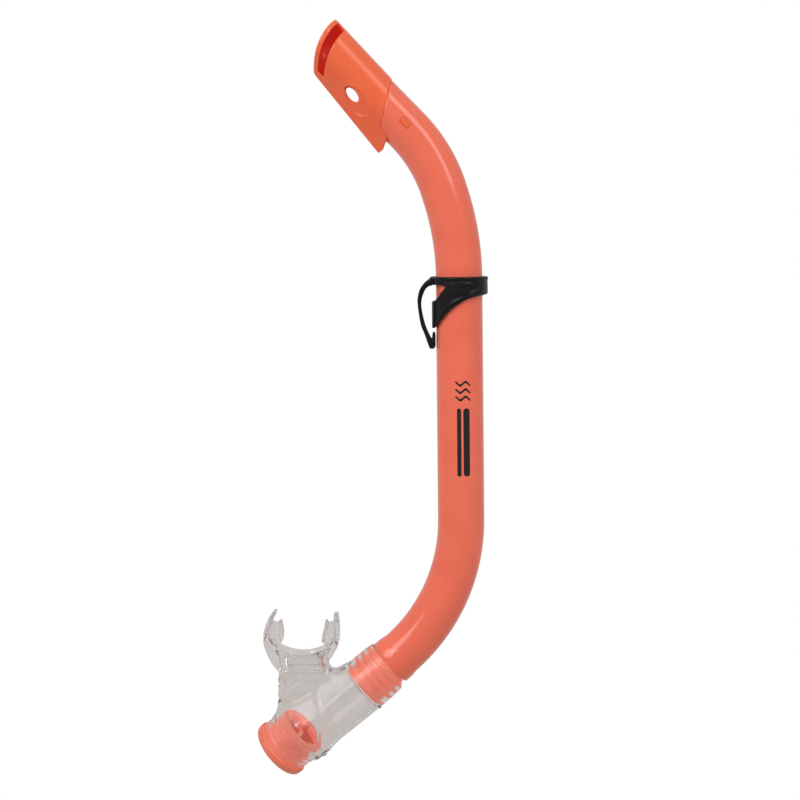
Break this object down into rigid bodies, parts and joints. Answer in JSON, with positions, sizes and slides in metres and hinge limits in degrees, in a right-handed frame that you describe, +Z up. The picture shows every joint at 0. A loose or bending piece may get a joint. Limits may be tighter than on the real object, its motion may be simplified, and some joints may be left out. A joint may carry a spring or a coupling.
{
  "type": "snorkel tube",
  "caption": "Bent snorkel: hard barrel with a slotted splash guard, a sliding strap keeper, and a swivelling clear silicone mouthpiece with a purge valve at its lower end.",
  "frame": {"origin": "middle of the mouth opening, on the inner face of the lip flange, where the wearer's lips close", "axes": "+Z up along the straight barrel and out of the mouth opening, towards the wearer; +X from the mouthpiece to the barrel; the bends lie in the XZ plane and Y is across it"},
  "size_m": [0.1316, 0.0379, 0.4235],
  "materials": {
    "barrel_tube": "glossy coral, faintly translucent",
    "tube_connector": "glossy coral",
    "splash_guard": "satin orange, moulded",
    "strap_keeper": "semi-gloss black elastomer",
    "mouthpiece": "clear silicone, smooth",
    "purge_housing": "glossy coral",
    "purge_flap": "clear silicone diaphragm",
    "purge_cover": "glossy coral"
  },
  "bodies": {
    "barrel": {"barrel_tube": "barrel_tube", "tube_connector": "tube_connector", "splash_guard": "splash_guard"},
    "keeper": {"strap_keeper": "strap_keeper"},
    "mouthpiece": {"mouthpiece": "mouthpiece", "purge_housing": "purge_housing", "purge_cover": "purge_cover"},
    "flap": {"purge_flap": "purge_flap"}
  },
  "joints": [
    {"name": "keeper_slide", "type": "slide", "parent": "barrel", "child": "keeper", "axis": [0, 0, 1], "range_m": [-0.095, 0]},
    {"name": "mouthpiece_swivel", "type": "hinge", "parent": "barrel", "child": "mouthpiece", "pos_m": [0.05561, 0, -0.00247], "axis": [-0.7547, 0, -0.6561], "continuous": true},
    {"name": "flap_lift", "type": "slide", "parent": "mouthpiece", "child": "flap", "axis": [-0.729, 0.2588, -0.6337], "range_m": [0, 0.0015], "stiffness_N_per_m": 30, "springref_m": -0.0005}
  ]
}
